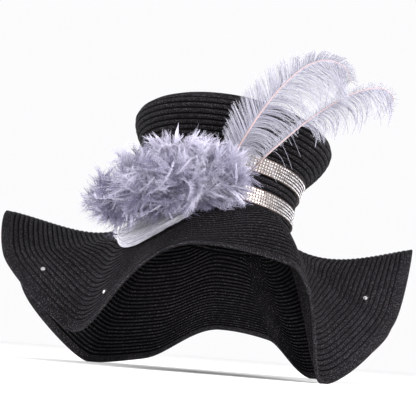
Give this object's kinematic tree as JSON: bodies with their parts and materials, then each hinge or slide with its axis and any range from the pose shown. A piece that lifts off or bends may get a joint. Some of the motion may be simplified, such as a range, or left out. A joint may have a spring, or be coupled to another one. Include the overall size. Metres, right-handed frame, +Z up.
{
  "type": "church hat",
  "caption": "Wide-brimmed church hat of sewn black straw braid with a wavy brim, flared oval crown, two stone bands, a marabou cluster and two ostrich plumes.",
  "frame": {"origin": "middle of the hat's footprint, on the surface that its brim stands on", "axes": "+Z up through the crown, +X to the right of someone who faces the hat's front, -Y towards its front, where the brim is arched up"},
  "size_m": [0.4814, 0.4372, 0.3505],
  "materials": {
    "straw_braid": "black sewn braid with a low sheen",
    "stone_band": "silver cups holding clear cut stones",
    "clear_stone": "clear, foil backed, polished",
    "marabou": "soft grey lavender down",
    "base_feather": "smooth pale grey feather",
    "ostrich_plume": "fine pale lavender barbs"
  },
  "bodies": {
    "root": {"crown": "straw_braid", "brim": "straw_braid", "lower_band": "stone_band", "upper_band": "stone_band", "marabou_cluster": "marabou", "base_feathers": "base_feather", "plume_left": "ostrich_plume", "plume_right": "ostrich_plume", "brim_stone_1": "clear_stone", "brim_stone_2": "clear_stone", "brim_stone_3": "clear_stone", "brim_stone_4": "clear_stone", "brim_stone_5": "clear_stone", "brim_stone_6": "clear_stone", "brim_stone_7": "clear_stone"}
  },
  "joints": []
}
